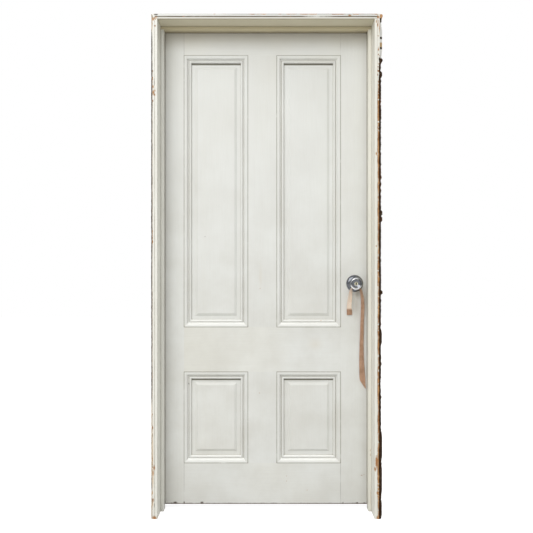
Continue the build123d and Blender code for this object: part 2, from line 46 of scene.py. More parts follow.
MM = 0.001
CENTRE_X = (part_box("left_jamb")[1].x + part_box("right_jamb")[0].x) / 2
FRONT_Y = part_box("left_jamb")[0].y
HEAD_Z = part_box("head_jamb")[0].z
TOP_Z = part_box("head_jamb")[1].z
JAMB_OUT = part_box("right_jamb")[1].x - CENTRE_X
JAMB_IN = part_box("right_jamb")[0].x - CENTRE_X
LEAF_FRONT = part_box("hinge_stile")[0].y
STILE_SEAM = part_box("hinge_stile")[1].x
LOCK_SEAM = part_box("lock_stile")[0].x
KNOB = (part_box("front_rose")[0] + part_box("front_rose")[1]) / 2
STOP_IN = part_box("right_stop")[0].x - CENTRE_X
STOP_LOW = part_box("head_stop")[0].z
STOP_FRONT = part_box("head_stop")[0].y
STOP_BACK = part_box("head_stop")[1].y
LEAF_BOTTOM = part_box("bottom_rail")[0].z
MOULDING_WIDTH = 0.030
PANELS = ("upper_left", "upper_right", "lower_left", "lower_right")

# Heights between which the outer edges are painted or dark
PAINTED_ABOVE = 1.843
EDGE_DARK_LOW = 0.47
EDGE_DARK_HIGH = 1.93

# The packing strips' rows, and how far a splinter may stand past the solid, in millimetres
STRIP_ROWS = 640
SPLINTER_PAST = 1.5

# The cloth, laid flat, in millimetres
CLOTH_WIDTH = 24.6
CLOTH_THICKNESS = 0.9
CLOTH_SLANT = 19.0

# Camera, read from the photograph's perspective
FOCAL_PX = 586.0
PHOTO_PX = 533.0
SENSOR = 36.0
CAMERA_DISTANCE = 2.342
CAMERA_HEIGHT = 1.010
CAMERA_SIDE = 0.002

# Colours, linear
PAINT = (0.785, 0.79, 0.755)
LEAF_PAINT = (0.745, 0.753, 0.728)
PAINT_WARM = (0.80, 0.755, 0.60)
# The grime colour also gives painted shade in crevices, at the head's lower arris and towards the bottom.
GRIME_AND_SHADE = (0.34, 0.30, 0.22)
BARE_WOOD = (0.60, 0.36, 0.17)
RAW_WOOD = (0.42, 0.20, 0.09)
DARK_WOOD = (0.035, 0.018, 0.010)
# The old stain colour also gives painted shade in the corners by the stops.
OLD_STAIN_AND_SHADE = (0.06, 0.04, 0.025)
OLD_CREAM = (0.84, 0.76, 0.56)
# A dark yellow for painted shade under the head.
UNDER_HEAD_SHADE = (0.54, 0.45, 0.24)
# The casing line's colour: a stain, partly painted shade.
CASING_STAIN_AND_SHADE = (0.25, 0.17, 0.10)
PAINT_GLOSS = 0.4


class Graph:
    """A small helper that writes shader nodes as expressions."""

    def __init__(self, name):
        self.material = bpy.data.materials.new(name)
        self.material.use_nodes = True
        self.tree = self.material.node_tree
        self.tree.nodes.clear()
        self.coords = self.add("ShaderNodeTexCoord").outputs["Object"]

    def add(self, kind, **values):
        node = self.tree.nodes.new(kind)
        for key, value in values.items():
            setattr(node, key, value)
        return node

    def put(self, socket, value):
        if isinstance(value, bpy.types.NodeSocket):
            self.tree.links.new(value, socket)
        elif value is not None:
            if socket.type == "RGBA" and len(value) == 3:
                value = (*value, 1.0)
            socket.default_value = value

    def math(self, operation, a, b=None, c=None):
        node = self.add("ShaderNodeMath", operation=operation)
        self.put(node.inputs[0], a)
        self.put(node.inputs[1], b)
        self.put(node.inputs[2], c)
        return node.outputs[0]

    def mix(self, factor, a, b):
        node = self.add("ShaderNodeMix", data_type="RGBA")
        self.put(node.inputs["Factor"], factor)
        self.put(node.inputs["A"], a)
        self.put(node.inputs["B"], b)
        return node.outputs["Result"]

    def place(self, scale, location):
        node = self.add("ShaderNodeMapping")
        self.put(node.inputs["Vector"], self.coords)
        node.inputs["Location"].default_value = location
        node.inputs["Scale"].default_value = scale
        return node.outputs[0]

    def noise(self, scale, detail=2.0, rough=0.5, stretch=(1, 1, 1), shift=(0, 0, 0)):
        node = self.add("ShaderNodeTexNoise")
        self.put(node.inputs["Vector"], self.place(stretch, shift))
        node.inputs["Scale"].default_value = scale
        node.inputs["Detail"].default_value = detail
        node.inputs["Roughness"].default_value = rough
        return node.outputs["Fac"]

    def step(self, value, low, high, smooth=True):
        """0 below low, 1 above high; reversed where low is the higher."""
        node = self.add("ShaderNodeMapRange", interpolation_type="SMOOTHSTEP" if smooth else "LINEAR")
        node.clamp = True
        self.put(node.inputs["Value"], value)
        reverse = low > high
        node.inputs["From Min"].default_value = min(low, high)
        node.inputs["From Max"].default_value = max(low, high)
        node.inputs["To Min"].default_value = 1.0 if reverse else 0.0
        node.inputs["To Max"].default_value = 0.0 if reverse else 1.0
        return node.outputs["Result"]

    def axes(self):
        node = self.add("ShaderNodeSeparateXYZ")
        self.put(node.inputs[0], self.coords)
        return node.outputs

    def bump(self, height, distance):
        node = self.add("ShaderNodeBump")
        node.inputs["Distance"].default_value = distance
        node.inputs["Strength"].default_value = 1.0
        self.put(node.inputs["Height"], height)
        return node.outputs[0]

    def shader(self, color, rough, normal, metallic=0.0, **values):
        node = self.add("ShaderNodeBsdfPrincipled")
        self.put(node.inputs["Base Color"], color)
        self.put(node.inputs["Roughness"], rough)
        node.inputs["Metallic"].default_value = metallic
        for key, value in values.items():
            node.inputs[key.replace("_", " ")].default_value = value
        self.put(node.inputs["Normal"], normal)
        self.surface = node
        self.finish(node.outputs[0])
        return self.material

    def finish(self, surface):
        out = self.add("ShaderNodeOutputMaterial")
        self.tree.links.new(surface, out.inputs["Surface"])
        return self.material


def point(x, z):
    """A place given in millimetres from the middle of the opening and from the floor."""
    return CENTRE_X + x * MM, z * MM


class Mark:
    """One worn or stained place: an ellipse seen from the front, ragged by noise."""

    def __init__(self, x, z, wide, high, soft=0.35, strength=1.0):
        self.x, self.z = point(x, z)
        self.wide = wide * MM
        self.high = high * MM
        self.soft = soft
        self.strength = strength


def mark_mask(graph, marks, rag_scale=220.0, rag=0.5):
    """Joint mask of several marks."""
    wobble = graph.add("ShaderNodeTexNoise")
    graph.put(wobble.inputs["Vector"], graph.coords)
    wobble.inputs["Scale"].default_value = rag_scale
    wobble.inputs["Detail"].default_value = 3.0
    total = None
    for mark in marks:
        local = graph.add("ShaderNodeMapping", vector_type="TEXTURE")
        graph.put(local.inputs["Vector"], graph.coords)
        local.inputs["Location"].default_value = (mark.x, 0, mark.z)
        local.inputs["Scale"].default_value = (mark.wide, 1e6, mark.high)
        length = graph.add("ShaderNodeVectorMath", operation="LENGTH")
        graph.put(length.inputs[0], local.outputs[0])
        ragged = graph.math("MULTIPLY_ADD", wobble.outputs["Fac"], rag, 0.5)
        shaken = graph.math("ADD", length.outputs["Value"], ragged)
        mask = graph.step(shaken, 1.0 + rag / 2 + mark.soft, 1.0 + rag / 2 - mark.soft)
        if mark.strength < 1:
            mask = graph.math("MULTIPLY", mask, mark.strength)
        total = mask if total is None else graph.math("MAXIMUM", total, mask)
    return total


def band(graph, value, middle, half, soft):
    """1 where value lies within half of middle."""
    away = graph.math("ABSOLUTE", graph.math("SUBTRACT", value, middle))
    return graph.step(away, half + soft, half - soft)


def both(graph, a, b):
    return graph.math("MULTIPLY", a, b)


def either(graph, a, b):
    return graph.math("MAXIMUM", a, b)


def frame_distance(graph, low_x, high_x, low_z, high_z):
    """Distance outward from an upright rectangle's outline; negative inside it."""
    x, z = graph.axes()["X"], graph.axes()["Z"]
    across = graph.math("ABSOLUTE", graph.math("SUBTRACT", x, (low_x + high_x) / 2))
    up = graph.math("ABSOLUTE", graph.math("SUBTRACT", z, (low_z + high_z) / 2))
    across = graph.math("SUBTRACT", across, (high_x - low_x) / 2)
    up = graph.math("SUBTRACT", up, (high_z - low_z) / 2)
    return graph.math("MAXIMUM", across, up)


def moulding_joints(graph):
    """The fine joint between the framing and the mouldings, clearer along the bottom of a panel."""
    total = None
    z = graph.axes()["Z"]
    wander = graph.step(graph.noise(21.0, 3.0, 0.6), 0.16, 0.46)
    for name in PANELS:
        low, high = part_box(name + "_front_moulding")
        outside = frame_distance(graph, low.x, high.x, low.z, high.z)
        line = band(graph, outside, 0.0, 0.0012, 0.0008)
        strong = graph.step(z, low.z + 0.012, low.z + 0.004)
        amount = graph.math("MULTIPLY_ADD", strong, 0.18, 0.80)
        line = both(graph, both(graph, line, wander), amount)
        total = line if total is None else either(graph, total, line)
    return total


def panel_top_painted_shadow(graph):
    """Painted shadow of the top mouldings: a dark band on the panels close under them."""
    total = None
    for name in PANELS:
        low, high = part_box(name + "_front_moulding")
        inner = high.z - MOULDING_WIDTH
        under = band(graph, graph.axes()["Z"], inner - 0.0025, 0.0045, 0.0012)
        middle, half = (low.x + high.x) / 2, (high.x - low.x) / 2 - MOULDING_WIDTH
        line = both(graph, under, band(graph, graph.axes()["X"], middle, half, 0.001))
        total = line if total is None else either(graph, total, line)
    return graph.math("MULTIPLY", total, 0.90)


def lower_slopes_highlight(graph):
    """Painted highlight: the mouldings under the panels, between their mitres, made lighter than the rest."""
    total = None
    for name in PANELS:
        low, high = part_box(name + "_front_moulding")
        up = graph.math("SUBTRACT", graph.axes()["Z"], low.z)
        middle, half = (low.x + high.x) / 2, (high.x - low.x) / 2
        away = graph.math("ABSOLUTE", graph.math("SUBTRACT", graph.axes()["X"], middle))
        mitre = graph.math("SUBTRACT", graph.math("SUBTRACT", half, away), up)
        stick = band(graph, up, MOULDING_WIDTH / 2, MOULDING_WIDTH / 2, 0.002)
        stick = both(graph, stick, graph.step(mitre, -0.0005, 0.0010))
        total = stick if total is None else either(graph, total, stick)
    return graph.math("MULTIPLY", total, 0.5)


def leaf_front_side(graph):
    return graph.step(graph.axes()["Y"], LEAF_FRONT + 0.012, LEAF_FRONT + 0.008)


def stop_shade_and_dirt(graph):
    """Painted shade and dirt on the leaf along the edge of the stops: a fine dark line and a soft band."""
    inside = graph.math("MULTIPLY", frame_distance(
        graph, CENTRE_X - STOP_IN, CENTRE_X + STOP_IN, -1.0, STOP_LOW), -1.0)
    line = graph.math("MULTIPLY", graph.step(inside, 0.0026, 0.0010), 0.35)
    soft = graph.math("MULTIPLY", graph.step(inside, 0.045, 0.0), 0.10)
    return both(graph, either(graph, line, soft), leaf_front_side(graph))


def head_painted_shadow(graph):
    """Painted shadow of the head on the leaf close under the head stop, warm and patchy."""
    down = graph.math("SUBTRACT", STOP_LOW, graph.axes()["Z"])
    patch = graph.math("MULTIPLY_ADD", graph.noise(9.0, 3.0, 0.6), 0.16, 0.30)
    return both(graph, both(graph, graph.step(down, 0.085, 0.0), patch), leaf_front_side(graph))


def stop_back_shade_and_dirt(graph):
    """Painted shade and dirt on the inner faces of the stops, thick where they meet the leaf."""
    y = graph.axes()["Y"]
    near = graph.step(y, STOP_BACK - 0.018, STOP_BACK - 0.011)
    wander = graph.noise(31.0, 3.0, 0.6)
    amount = graph.math("MULTIPLY_ADD", wander, 0.40, 0.30)
    return both(graph, near, amount)


def corner_painted_shade(graph):
    """Painted shade where a stop meets the jamb or the head."""
    y = graph.axes()["Y"]
    line = band(graph, y, STOP_FRONT - 0.0015, 0.0025, 0.0015)
    return graph.math("MULTIPLY", line, 0.35)


def crevice_painted_shade(graph, reach, amount):
    """Painted shade in quirks and inner corners, found by ambient occlusion."""
    cover = graph.add("ShaderNodeAmbientOcclusion", samples=6)
    cover.inputs["Distance"].default_value = reach
    return graph.math("MULTIPLY", graph.step(cover.outputs["AO"], 0.80, 0.35), amount)


def grain_stretch(along):
    return (1.0, 1.0, 0.035) if along == "Z" else (0.035, 1.0, 1.0)


def paint_base(graph, along, seed, plain):
    """Brushed off-white gloss paint gone matt: colour, roughness and height."""
    stretch = grain_stretch(along)
    shift = (seed * 1.7, seed * 0.9, seed * 2.3)
    brush = graph.noise(260.0, 3.0, 0.6, stretch, shift=shift)
    cloud = graph.noise(3.2, 3.0, 0.55, shift=shift)
    warm = graph.noise(1.7, 2.0, 0.5, (1, 1, 0.5), shift=shift)
    speck = graph.noise(95.0, 4.0, 0.65, shift=shift)
    color = graph.mix(graph.math("MULTIPLY", graph.step(warm, 0.50, 0.75), 0.16), plain, PAINT_WARM)
    color = graph.mix(graph.step(cloud, 0.35, 0.75), color, graph.mix(0.10, color, GRIME_AND_SHADE))
    color = graph.mix(graph.math("MULTIPLY", graph.step(brush, 0.30, 0.80), 0.05), color, GRIME_AND_SHADE)
    color = graph.mix(graph.math("MULTIPLY", graph.step(speck, 0.70, 0.80), 0.10), color, GRIME_AND_SHADE)
    height = graph.math("ADD", graph.math("MULTIPLY", brush, 0.6), graph.math("MULTIPLY", cloud, 1.4))
    return color, height


def low_painted_shade(graph, color, top, full, amount):
    """Painted shade, patchy, that thickens from the height top down to the height full."""
    z = graph.axes()["Z"]
    mask = graph.math("MULTIPLY", graph.step(z, top, full, smooth=False), amount)
    patch = graph.noise(7.0, 4.0, 0.6)
    mask = graph.math("MULTIPLY", mask, graph.step(patch, 0.2, 0.8))
    return graph.mix(mask, color, GRIME_AND_SHADE)


def paint_shader(graph, color, height, bare):
    rough = graph.math("ADD", 0.42, graph.math("MULTIPLY", height, 0.06))
    gloss = PAINT_GLOSS
    if bare is not None:
        rough = graph.mix(bare, (0.5, 0.5, 0.5), (0.85, 0.85, 0.85))
        height = graph.math("SUBTRACT", height, graph.math("MULTIPLY", bare, 2.5))
        gloss = graph.math("MULTIPLY_ADD", bare, -PAINT_GLOSS, PAINT_GLOSS)
    graph.shader(color, rough, graph.bump(height, 0.00035))
    graph.put(graph.surface.inputs["Specular IOR Level"], gloss)
    return graph.material


def bare_wood_color(graph, along="Z"):
    fibre = graph.noise(330.0, 4.0, 0.7, grain_stretch(along))
    tone = graph.noise(9.0, 3.0, 0.6)
    color = graph.mix(graph.step(fibre, 0.35, 0.70), BARE_WOOD, RAW_WOOD)
    return graph.mix(graph.step(tone, 0.35, 0.7), color, (0.30, 0.13, 0.05))


def coat(graph, along, seed, plain, cream, yellow, dirt):
    """The paint with what has gathered or turned over its whole face, and painted shade in its crevices,
    under the head and towards the bottom.
    """
    color, height = paint_base(graph, along, seed, plain)
    if cream:
        color = graph.mix(cream, color, OLD_CREAM)
    # Painted shade: the head's underside, and all of the head stop below it, darkened towards yellow.
    if yellow:
        under = graph.step(graph.axes()["Z"], HEAD_Z + 0.0015, HEAD_Z + 0.0005)
        color = graph.mix(graph.math("MULTIPLY", under, yellow), color, UNDER_HEAD_SHADE)
    # Painted shade in crevices.
    color = graph.mix(crevice_painted_shade(graph, 0.007, 0.55), color, GRIME_AND_SHADE)
    # Painted shade, growing towards the bottom.
    return low_painted_shade(graph, color, 1.8, 0.8, dirt), height


def seam_mask(graph, seam_x, low, high):
    """A fine upright joint, closed by paint in lengths."""
    line = band(graph, graph.axes()["X"], seam_x, 0.0006, 0.0007)
    span = band(graph, graph.axes()["Z"], (low + high) / 2, (high - low) / 2, 0.004)
    open_lengths = graph.step(graph.noise(14.0, 2.0, 0.5), 0.30, 0.62)
    return both(graph, both(graph, line, span), open_lengths)


def painted(name, along, seed, marks=(), stains_and_shadows=(), seams=(), bare_edge=None, lines=(),
            yellow=0.0, cream=0.0, torn=None, plain=PAINT, face=FRONT_Y, dirt=0.03):
    """Paint with its own wear: marks show bare wood, stained and shaded marks tint it, seams are fine dark
    joints; some lines are painted shade, shadow or highlight, and dirt sets painted shade that grows towards
    the bottom.

    Marks, with their stain and shadow tints, lie close behind the face, so they don't run through the piece.
    """
    graph = Graph(name)
    front = graph.step(graph.axes()["Y"], face + 0.016, face + 0.009)
    color, height = coat(graph, along, seed, plain, cream, yellow, dirt)
    for seam_x, low, high, strength in seams:
        line = seam_mask(graph, seam_x, low, high)
        color = graph.mix(graph.math("MULTIPLY", line, strength), color, OLD_STAIN_AND_SHADE)
        height = graph.math("SUBTRACT", height, graph.math("MULTIPLY", line, 1.6))
    for tint, group in stains_and_shadows:
        color = graph.mix(both(graph, mark_mask(graph, group), front), color, tint)
    for tint, line_mask in lines:
        mask = line_mask(graph)
        color = graph.mix(mask, color, tint)
        height = graph.math("SUBTRACT", height, graph.math("MULTIPLY", mask, 0.8))
    bare = None
    if marks:
        bare = both(graph, mark_mask(graph, marks), front)
    if bare_edge is not None:
        edge = bare_edge(graph)
        bare = edge if bare is None else either(graph, bare, edge)
    if bare is not None:
        color = graph.mix(bare, color, bare_wood_color(graph, along))
    if torn is not None:
        ragged = torn(graph)
        color = graph.mix(ragged, color, DARK_WOOD)
        bare = either(graph, bare, ragged)
    return paint_shader(graph, color, height, bare)


def near_front(graph):
    return graph.step(graph.axes()["Y"], FRONT_Y + 0.012, FRONT_Y + 0.004)


def outer_edge(graph, side, least, most, low=0.42, high=0.52, scale=26.0, shift=0.0):
    """A strip of varying width down the outer front arris of a jamb."""
    reach = graph.math("MULTIPLY", graph.math("SUBTRACT", graph.axes()["X"], CENTRE_X), side)
    inward = graph.math("SUBTRACT", JAMB_OUT, reach)
    wander = graph.noise(scale, 4.0, 0.7, (1, 1, 0.6), shift=(shift, 0, shift))
    edge = graph.math("MULTIPLY_ADD", graph.step(wander, low, high), most - least, least)
    fine = graph.math("MULTIPLY", graph.noise(300.0, 2.0, 0.5), 0.0015)
    gap = graph.math("SUBTRACT", graph.math("ADD", edge, fine), inward)
    return both(graph, graph.step(gap, -0.0004, 0.0006), near_front(graph))


def outer_wear(side, least, most, low, high):
    """Bare wood along the outer front arris of a jamb."""

    def wear(graph):
        bare = outer_edge(graph, side, least, most, low, high)
        fleck_noise = graph.noise(120.0, 3.0, 0.6, shift=(2, 0, 5))
        height = graph.axes()["Z"]
        limit = graph.math("MULTIPLY_ADD", graph.step(height, 1.70, 1.84), 0.24, 0.36)
        flecks = graph.step(graph.math("SUBTRACT", fleck_noise, limit), 0.0, 0.04)
        return both(graph, bare, flecks)

    return wear


def torn_edge(graph):
    """The strike jamb's outermost edge, torn and black with dirt."""
    torn = outer_edge(graph, 1, 0.0015, 0.0042, 0.30, 0.62, 60.0, 3.0)
    return both(graph, torn, graph.step(graph.axes()["Z"], PAINTED_ABOVE + 0.006, PAINTED_ABOVE))


def left_edge_dirt(graph):
    """Grey-brown dirt in lengths along the hinge jamb's outermost edge."""
    middle, half = (EDGE_DARK_LOW + EDGE_DARK_HIGH) / 2, (EDGE_DARK_HIGH - EDGE_DARK_LOW) / 2
    worn = band(graph, graph.axes()["Z"], middle, half, 0.02)
    patch = graph.math("MULTIPLY_ADD", graph.step(graph.noise(16.0, 4.0, 0.7), 0.35, 0.60), 0.45, 0.45)
    return both(graph, both(graph, outer_edge(graph, -1, 0.0002, 0.0011), worn), patch)


def upright_casing_line(side, strength):
    """The line that a lost casing left down the front of a jamb: a stain, its darkness partly painted shade.
    """

    def line(graph):
        middle = CENTRE_X + side * (JAMB_IN + 0.0103)
        mask = band(graph, graph.axes()["X"], middle, 0.0010, 0.0009)
        broken = graph.step(graph.noise(17.0, 4.0, 0.7, (1, 1, 0.5)), 0.34, 0.62)
        return graph.math("MULTIPLY", both(graph, both(graph, mask, broken), near_front(graph)), strength)

    return line


def head_casing_line(graph):
    # The casing line along the head: a stain, partly painted shade.
    mask = band(graph, graph.axes()["Z"], HEAD_Z + 0.0096, 0.0024, 0.0010)
    broken = graph.step(graph.noise(13.0, 4.0, 0.7, (0.6, 1, 1)), 0.20, 0.50)
    return both(graph, both(graph, mask, broken), near_front(graph))


def head_arris_painted_shade(graph):
    """Painted shade along the lower front arris of the head."""
    mask = graph.step(graph.axes()["Z"], HEAD_Z + 0.0085, HEAD_Z + 0.0015)
    return graph.math("MULTIPLY", both(graph, mask, near_front(graph)), 0.55)


def head_top_line(graph):
    """Dirt along the top arris of the head."""
    mask = band(graph, graph.axes()["Z"], TOP_Z - 0.0005, 0.0024, 0.0010)
    to_right = graph.step(graph.axes()["X"], CENTRE_X - 0.20, CENTRE_X - 0.10)
    amount = graph.math("MULTIPLY_ADD", to_right, 0.36, 0.20)
    return both(graph, both(graph, mask, near_front(graph)), amount)


def head_top_wear(graph):
    """Paint lost along the top arris of the head, more to the right."""
    x, z = graph.axes()["X"], graph.axes()["Z"]
    wander = graph.noise(24.0, 4.0, 0.7)
    drift = graph.math("MULTIPLY", graph.step(x, CENTRE_X - 0.35, CENTRE_X + 0.10), 0.16)
    wide = graph.math("MULTIPLY", graph.step(graph.math("ADD", wander, drift), 0.56, 0.70), 0.0032)
    gap = graph.math("SUBTRACT", wide, graph.math("SUBTRACT", TOP_Z, z))
    return both(graph, graph.step(gap, -0.0006, 0.0006), near_front(graph))


def leaf_foot(graph):
    """Dark bare edge along the bottom of the leaf."""
    ragged = graph.math("MULTIPLY_ADD", graph.noise(40.0, 4.0, 0.7), -0.005, LEAF_BOTTOM + 0.0065)
    gap = graph.math("SUBTRACT", ragged, graph.axes()["Z"])
    return graph.math("MULTIPLY", graph.step(gap, -0.0008, 0.0008), 0.85)


def from_knob_axis(graph):
    """Distance from the knob's axis and height over it."""
    axes = graph.axes()
    across = graph.math("SUBTRACT", axes["X"], KNOB.x)
    up = graph.math("SUBTRACT", axes["Z"], KNOB.z)
    square = graph.math("ADD", both(graph, across, across), both(graph, up, up))
    return graph.math("SQRT", square), across, up


def chrome(name, tone=None):
    """Old polished chrome; tone darkens it in a pattern of painted reflection."""
    graph = Graph(name)
    haze = graph.noise(60.0, 3.0, 0.6)
    pits = graph.noise(900.0, 2.0, 0.5)
    rough = graph.math("MULTIPLY_ADD", graph.step(haze, 0.35, 0.8), 0.10, 0.09)
    color = graph.mix(graph.step(haze, 0.45, 0.9), (0.70, 0.71, 0.73), (0.52, 0.53, 0.54))
    if tone is not None:
        # Painted reflection: darker where tone says.
        color = graph.mix(tone(graph), color, (0.045, 0.050, 0.060))
    return graph.shader(color, rough, graph.bump(pits, 0.00002), metallic=1.0)


def rose_painted_reflection(graph):
    """Painted reflection: dark all over, a little darker at the outer ring and less dark to the right."""
    away, across, up = from_knob_axis(graph)
    outer = graph.step(away, 0.0285, 0.0325)
    inner = graph.step(away, 0.0265, 0.0245)
    low = graph.math("MULTIPLY", graph.step(up, 0.004, -0.016), 0.55)
    side = graph.math("SUBTRACT", 1.0, graph.math("MULTIPLY", graph.step(across, -0.004, 0.030), 0.45))
    rims = either(graph, graph.math("MULTIPLY", outer, 0.92), graph.math("MULTIPLY", inner, 0.8))
    darkened = either(graph, rims, either(graph, low, 0.90))
    return both(graph, darkened, side)


def knob_painted_reflection(graph):
    """Painted reflection: a dark dish round the plug; the rim is dark above, clear at its foot and in a short
    arc over the dish.
    """
    away, across, up = from_knob_axis(graph)
    dish = graph.math("MULTIPLY", graph.step(away, 0.0175, 0.0155), graph.step(away, 0.0070, 0.0120))
    dish = graph.math("MULTIPLY", dish, 0.90)
    arc = both(graph, band(graph, away, 0.0215, 0.0030, 0.0012), band(graph, across, -0.003, 0.011, 0.006))
    arc = both(graph, arc, graph.step(up, 0.0, 0.008))
    rim = graph.math("MULTIPLY", graph.step(up, -0.014, -0.002), 0.80)
    rim = graph.math("MULTIPLY", rim, graph.math("SUBTRACT", 1.0, arc))
    return either(graph, dish, rim)


def brass():
    """Worn pale brass, black inside the keyway as painted shade, and darker at the rim."""
    graph = Graph("dull_brass")
    tone = graph.noise(240.0, 3.0, 0.6)
    color = graph.mix(tone, (0.80, 0.77, 0.60), (0.64, 0.60, 0.40))
    away, across, up = from_knob_axis(graph)
    # Painted shade inside the keyway.
    slot = both(graph, band(graph, across, 0.0, 0.0028, 0.0005), band(graph, up, 0.0, 0.0052, 0.0008))
    darkened = either(graph, slot, graph.math("MULTIPLY", graph.step(away, 0.0055, 0.0072), 0.6))
    color = graph.mix(darkened, color, (0.03, 0.025, 0.012))
    graph.shader(color, 0.32, graph.bump(tone, 0.00004), Specular_IOR_Level=0.0)
    graph.put(graph.surface.inputs["Metallic"], graph.math("SUBTRACT", 1.0, slot))
    return graph.material


def steel():
    graph = Graph("plain_steel")
    tone = graph.noise(180.0, 4.0, 0.6)
    color = graph.mix(tone, (0.42, 0.41, 0.39), (0.22, 0.20, 0.18))
    rough = graph.math("MULTIPLY_ADD", tone, 0.3, 0.5)
    return graph.shader(color, rough, graph.bump(tone, 0.00005), metallic=1.0)


def hinge_metal():
    """Steel painted over with the frame, rubbed through in places."""
    graph = Graph("painted_hinge")
    rub = graph.noise(70.0, 4.0, 0.65)
    mask = graph.step(rub, 0.56, 0.62)
    tone = graph.noise(300.0, 3.0, 0.6)
    metal = graph.mix(tone, (0.20, 0.17, 0.14), (0.10, 0.07, 0.05))
    color = graph.mix(mask, graph.mix(tone, PAINT, PAINT_WARM), metal)
    height = graph.math("SUBTRACT", tone, graph.math("MULTIPLY", mask, 2.0))
    return graph.shader(color, graph.math("MULTIPLY_ADD", tone, 0.2, 0.5), graph.bump(height, 0.0002))


def strip_front(graph):
    """1 at the front of a packing strip, where it shows beside the jamb."""
    return graph.step(graph.axes()["Y"], FRONT_Y + 0.026, FRONT_Y + 0.012)


def rough_wood():
    """Rough-sawn strip, plain behind, its front near black with dirt and painted shade, and browner on its
    crests.
    """
    graph = Graph("rough_sawn_wood")
    fibre = graph.noise(420.0, 5.0, 0.75, grain_stretch("Z"))
    patch = graph.noise(16.0, 4.0, 0.65, (1, 1, 0.5))
    color = graph.mix(graph.step(patch, 0.52, 0.74), DARK_WOOD, (0.15, 0.06, 0.026))
    color = graph.mix(graph.math("MULTIPLY", graph.step(fibre, 0.5, 0.8), 0.5), color, (0.22, 0.10, 0.05))
    fleck = graph.step(graph.noise(150.0, 3.0, 0.65), 0.56, 0.66)
    color = graph.mix(graph.math("MULTIPLY", fleck, 0.7), color, (0.20, 0.17, 0.12))
    z = graph.axes()["Z"]
    painted_part = band(graph, z, (PAINTED_ABOVE + 1.988) / 2, 0.071, 0.003)
    paint = graph.mix(graph.step(patch, 0.40, 0.60), (0.60, 0.60, 0.57), (0.74, 0.73, 0.68))
    paint = graph.mix(band(graph, z, 1.897, 0.010, 0.003), paint, (0.42, 0.29, 0.15))
    for spot in (1.925, 1.884):
        paint = graph.mix(band(graph, z, spot, 0.0045, 0.0015), paint, DARK_WOOD)
    color = graph.mix(painted_part, color, paint)
    aged = graph.mix(fibre, (0.30, 0.18, 0.10), (0.15, 0.085, 0.045))
    # The near-black front is dirt and painted shade; behind it the wood is plain and aged.
    color = graph.mix(strip_front(graph), aged, color)
    color = graph.mix(graph.step(z, 2.0035, 2.0065), color, graph.mix(fibre, BARE_WOOD, RAW_WOOD))
    return graph.shader(color, 0.9, graph.bump(fibre, 0.0012), Specular_IOR_Level=0.1)


def old_edge_wood():
    """The strip beside the hinge jamb: plain behind, its front dark with dirt and smeared with paint."""
    graph = Graph("dirty_edge_wood")
    fibre = graph.noise(420.0, 5.0, 0.75, grain_stretch("Z"))
    lengths = graph.noise(7.0, 4.0, 0.7, (1, 1, 1))
    dirt = graph.mix(fibre, (0.10, 0.08, 0.06), (0.04, 0.028, 0.018))
    z = graph.axes()["Z"]
    smear = either(graph, graph.step(z, EDGE_DARK_LOW + 0.03, EDGE_DARK_LOW - 0.03),
                   graph.step(z, EDGE_DARK_HIGH - 0.01, EDGE_DARK_HIGH + 0.01))
    smear = both(graph, smear, graph.step(lengths, 0.38, 0.50))
    dirt = graph.mix(graph.math("MULTIPLY", smear, 0.85), dirt, (0.60, 0.53, 0.42))
    aged = graph.mix(fibre, (0.42, 0.28, 0.17), (0.24, 0.15, 0.085))
    color = graph.mix(strip_front(graph), aged, dirt)
    return graph.shader(color, 0.9, graph.bump(fibre, 0.0008), Specular_IOR_Level=0.1)


def cloth():
    """Thin tan woven strip, with a painted highlight: paler on the upper part of its short end."""
    graph = Graph("tan_cloth")
    weave = graph.add("ShaderNodeTexWave", wave_type="BANDS", bands_direction="Z")
    graph.put(weave.inputs["Vector"], graph.coords)
    weave.inputs["Scale"].default_value = 380.0
    weave.inputs["Distortion"].default_value = 1.5
    across = graph.add("ShaderNodeTexWave", wave_type="BANDS", bands_direction="X")
    graph.put(across.inputs["Vector"], graph.coords)
    across.inputs["Scale"].default_value = 380.0
    across.inputs["Distortion"].default_value = 1.5
    thread = graph.math("MULTIPLY", weave.outputs["Fac"], across.outputs["Fac"])
    patch = graph.noise(38.0, 4.0, 0.6)
    color = graph.mix(graph.step(patch, 0.35, 0.7), (0.73, 0.49, 0.34), (0.58, 0.365, 0.24))
    color = graph.mix(graph.math("MULTIPLY", thread, 0.35), color, (0.88, 0.68, 0.53))
    axes = graph.axes()
    # Painted highlight: the upper part of the short end is paler, where it catches the light.
    short = both(graph, graph.step(axes["X"], KNOB.x + 0.002, KNOB.x - 0.004),
                 graph.step(axes["Z"], KNOB.z - 0.112, KNOB.z - 0.100))
    pale = graph.mix(graph.step(patch, 0.45, 0.75), (0.98, 0.88, 0.77), (0.90, 0.72, 0.58))
    color = graph.mix(graph.math("MULTIPLY", short, 0.95), color, pale)
    return graph.shader(color, 0.9, graph.bump(thread, 0.00008), Sheen_Weight=0.15, Specular_IOR_Level=0.2)


def assign(names, material):
    for name in names:
        piece = nodes[name]
        piece.data.materials.clear()
        piece.data.materials.append(material)


